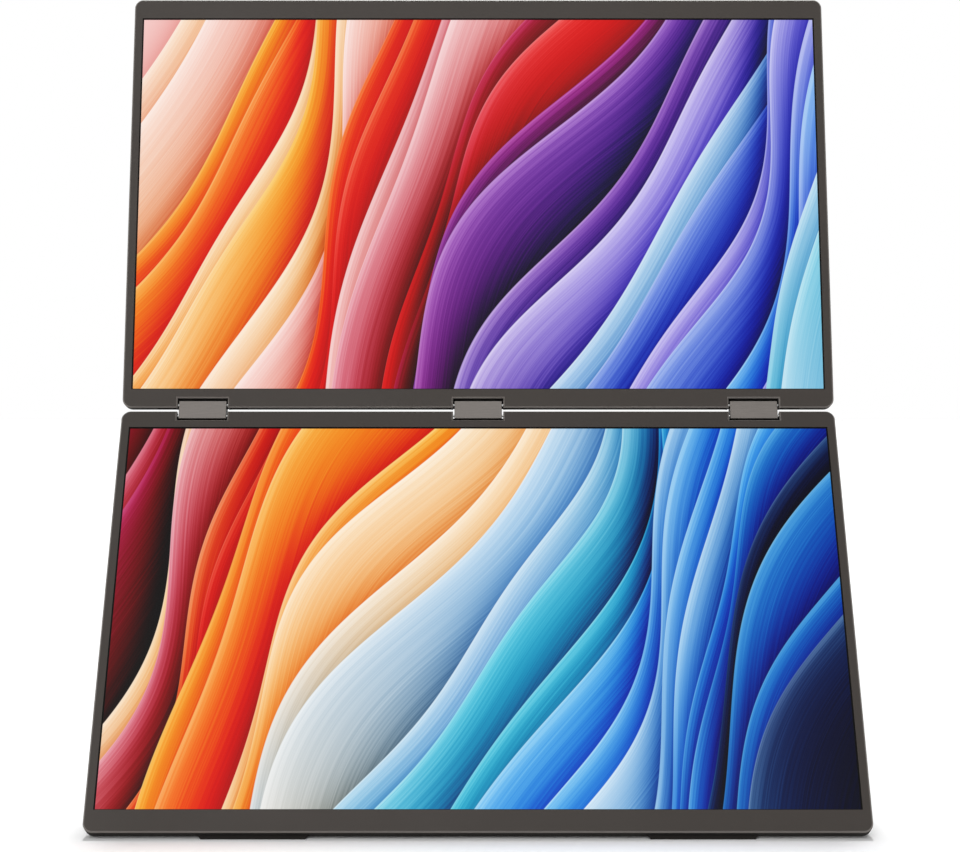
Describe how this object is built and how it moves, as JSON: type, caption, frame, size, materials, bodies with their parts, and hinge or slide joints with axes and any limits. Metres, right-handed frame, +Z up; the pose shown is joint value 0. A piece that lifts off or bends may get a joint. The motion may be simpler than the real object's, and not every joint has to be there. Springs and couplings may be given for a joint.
{
  "type": "dual portable monitor",
  "caption": "Two slim widescreen displays stacked and joined by double-pin hinges, standing on a rear kickstand.",
  "frame": {"origin": "on the floor, in the middle of the standing object's width and depth", "axes": "+Z up, -Y towards the viewer who faces the screens, +X to the viewer's right"},
  "size_m": [0.3544, 0.1596, 0.4],
  "materials": {
    "casing": "dark warm grey anodised, fine satin",
    "cover": "dark warm grey anodised, satin",
    "screen": "smooth, lit colour picture",
    "hinge_metal": "brushed along its length",
    "hinge_block": "satin dark grey",
    "steel": "bare",
    "dark_screw": "blackened",
    "tray_metal": "plain sheet",
    "light_guide": "clear and milky",
    "light_bar": "white strip with yellow emitters",
    "foam": "matt foam",
    "circuit_board": "green solder mask",
    "black_plastic": "moulded black",
    "ribbon": "amber film",
    "rubber_black": "matt",
    "button_cap": "satin dark grey"
  },
  "bodies": {
    "lower_display": {"lower_front_bezel": "casing", "lower_back_cover": "cover", "lower_cover_screws": "dark_screw", "lower_bezel_gasket": "foam", "lower_lcd_cell": "screen", "lower_backlight_sheets": "light_guide", "lower_led_bar": "light_bar", "lower_panel_tray": "tray_metal", "lower_timing_board": "circuit_board", "lower_hinge_brackets": "steel", "lower_bracket_screws": "steel", "lower_hinge_pins": "steel", "stand_brackets": "steel", "stand_screws": "dark_screw", "stand_pins": "steel", "rubber_feet": "rubber_black", "data_port_shells": "steel", "video_port_shell": "steel", "port_tongues": "black_plastic", "main_board": "circuit_board", "board_screws": "steel", "button_board": "circuit_board", "button_switches": "black_plastic", "lower_cable": "black_plastic", "panel_ribbon": "ribbon", "button_ribbon": "ribbon"},
    "hinge_links": {"hinge_housings": "hinge_block", "hinge_covers": "hinge_metal", "idler_pins": "steel", "link_cable": "black_plastic"},
    "upper_display": {"upper_front_bezel": "casing", "upper_back_cover": "cover", "upper_cover_screws": "dark_screw", "upper_bezel_gasket": "foam", "upper_lcd_cell": "screen", "upper_backlight_sheets": "light_guide", "upper_led_bar": "light_bar", "upper_panel_tray": "tray_metal", "upper_timing_board": "circuit_board", "upper_hinge_brackets": "steel", "upper_bracket_screws": "steel", "upper_hinge_pins": "steel", "upper_cable": "black_plastic"},
    "lower_idlers": {"lower_idler_gears": "steel"},
    "upper_idlers": {"upper_idler_gears": "steel"},
    "kickstand": {"stand_plate": "cover", "stand_leaves": "steel", "stand_foot": "rubber_black"},
    "power_key": {"power_button": "button_cap"},
    "menu_key": {"menu_button": "button_cap"},
    "select_key": {"select_button": "button_cap"}
  },
  "joints": [
    {"name": "link_fold", "type": "hinge", "parent": "lower_display", "child": "hinge_links", "pos_m": [0, 0.02823, 0.18647], "axis": [1, 0, 0], "range_deg": [-9, 81]},
    {"name": "upper_fold", "type": "hinge", "parent": "hinge_links", "child": "upper_display", "pos_m": [0, 0.03027, 0.19179], "axis": [1, 0, 0], "range_deg": [-9, 81]},
    {"name": "lower_idler_turn", "type": "hinge", "parent": "hinge_links", "child": "lower_idlers", "pos_m": [0, 0.02891, 0.18824], "axis": [1, 0, 0], "range_deg": [-9, 81]},
    {"name": "upper_idler_turn", "type": "hinge", "parent": "hinge_links", "child": "upper_idlers", "pos_m": [0, 0.02959, 0.19001], "axis": [1, 0, 0], "range_deg": [-81, 9]},
    {"name": "stand_swing", "type": "hinge", "parent": "lower_display", "child": "kickstand", "pos_m": [0, 0.00466, 0.13824], "axis": [1, 0, 0], "range_deg": [-53, 20]},
    {"name": "power_press", "type": "slide", "parent": "lower_display", "child": "power_key", "axis": [-1, 0, 0], "range_m": [0, 0.0004], "stiffness_N_per_m": 500},
    {"name": "menu_press", "type": "slide", "parent": "lower_display", "child": "menu_key", "axis": [-1, 0, 0], "range_m": [0, 0.0004], "stiffness_N_per_m": 500},
    {"name": "select_press", "type": "slide", "parent": "lower_display", "child": "select_key", "axis": [-1, 0, 0], "range_m": [0, 0.0004], "stiffness_N_per_m": 500}
  ],
  "couplings": [
    {"joint": "upper_fold", "follows": "link_fold", "ratio": 1},
    {"joint": "lower_idler_turn", "follows": "link_fold", "ratio": 1},
    {"joint": "upper_idler_turn", "follows": "link_fold", "ratio": -1}
  ]
}
